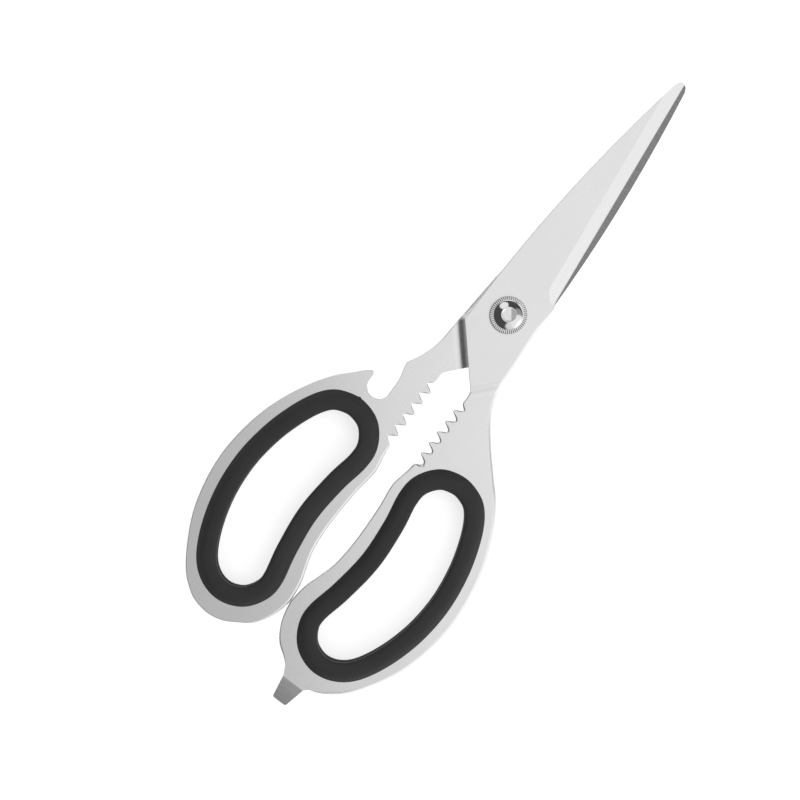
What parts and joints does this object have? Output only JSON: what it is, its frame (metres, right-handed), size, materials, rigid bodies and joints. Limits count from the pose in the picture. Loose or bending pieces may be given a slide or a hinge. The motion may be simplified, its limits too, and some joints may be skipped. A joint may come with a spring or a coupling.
{
  "type": "poultry shears",
  "caption": "All-steel poultry shears with flat joggled halves, soft finger rings, gripping teeth, cap-lifter hook and screwdriver tip on a screwed pivot.",
  "frame": {"origin": "on the pivot axis, at the flat rear face of the pivot nut, which the shears lie on", "axes": "+Y from the pivot to the blade tips, +X towards the front half's bow, +Z along the pivot axis out of the front face"},
  "size_m": [0.0988, 0.2519, 0.0112],
  "materials": {
    "blade_steel": "fine satin brushed stainless",
    "polished_steel": "mirror polished and plated",
    "soft_ring": "matte moulded soft black"
  },
  "bodies": {
    "rear_half": {"rear_blade": "blade_steel", "rear_grip": "soft_ring", "pivot_nut": "polished_steel", "spring_washer": "polished_steel", "knurled_washer": "polished_steel", "pivot_screw": "polished_steel"},
    "front_half": {"front_blade": "blade_steel", "front_grip": "soft_ring"}
  },
  "joints": [
    {"name": "pivot", "type": "hinge", "parent": "rear_half", "child": "front_half", "pos_m": [0, 0, 0.00576], "axis": [0, 0, 1], "range_deg": [0, 80]}
  ]
}
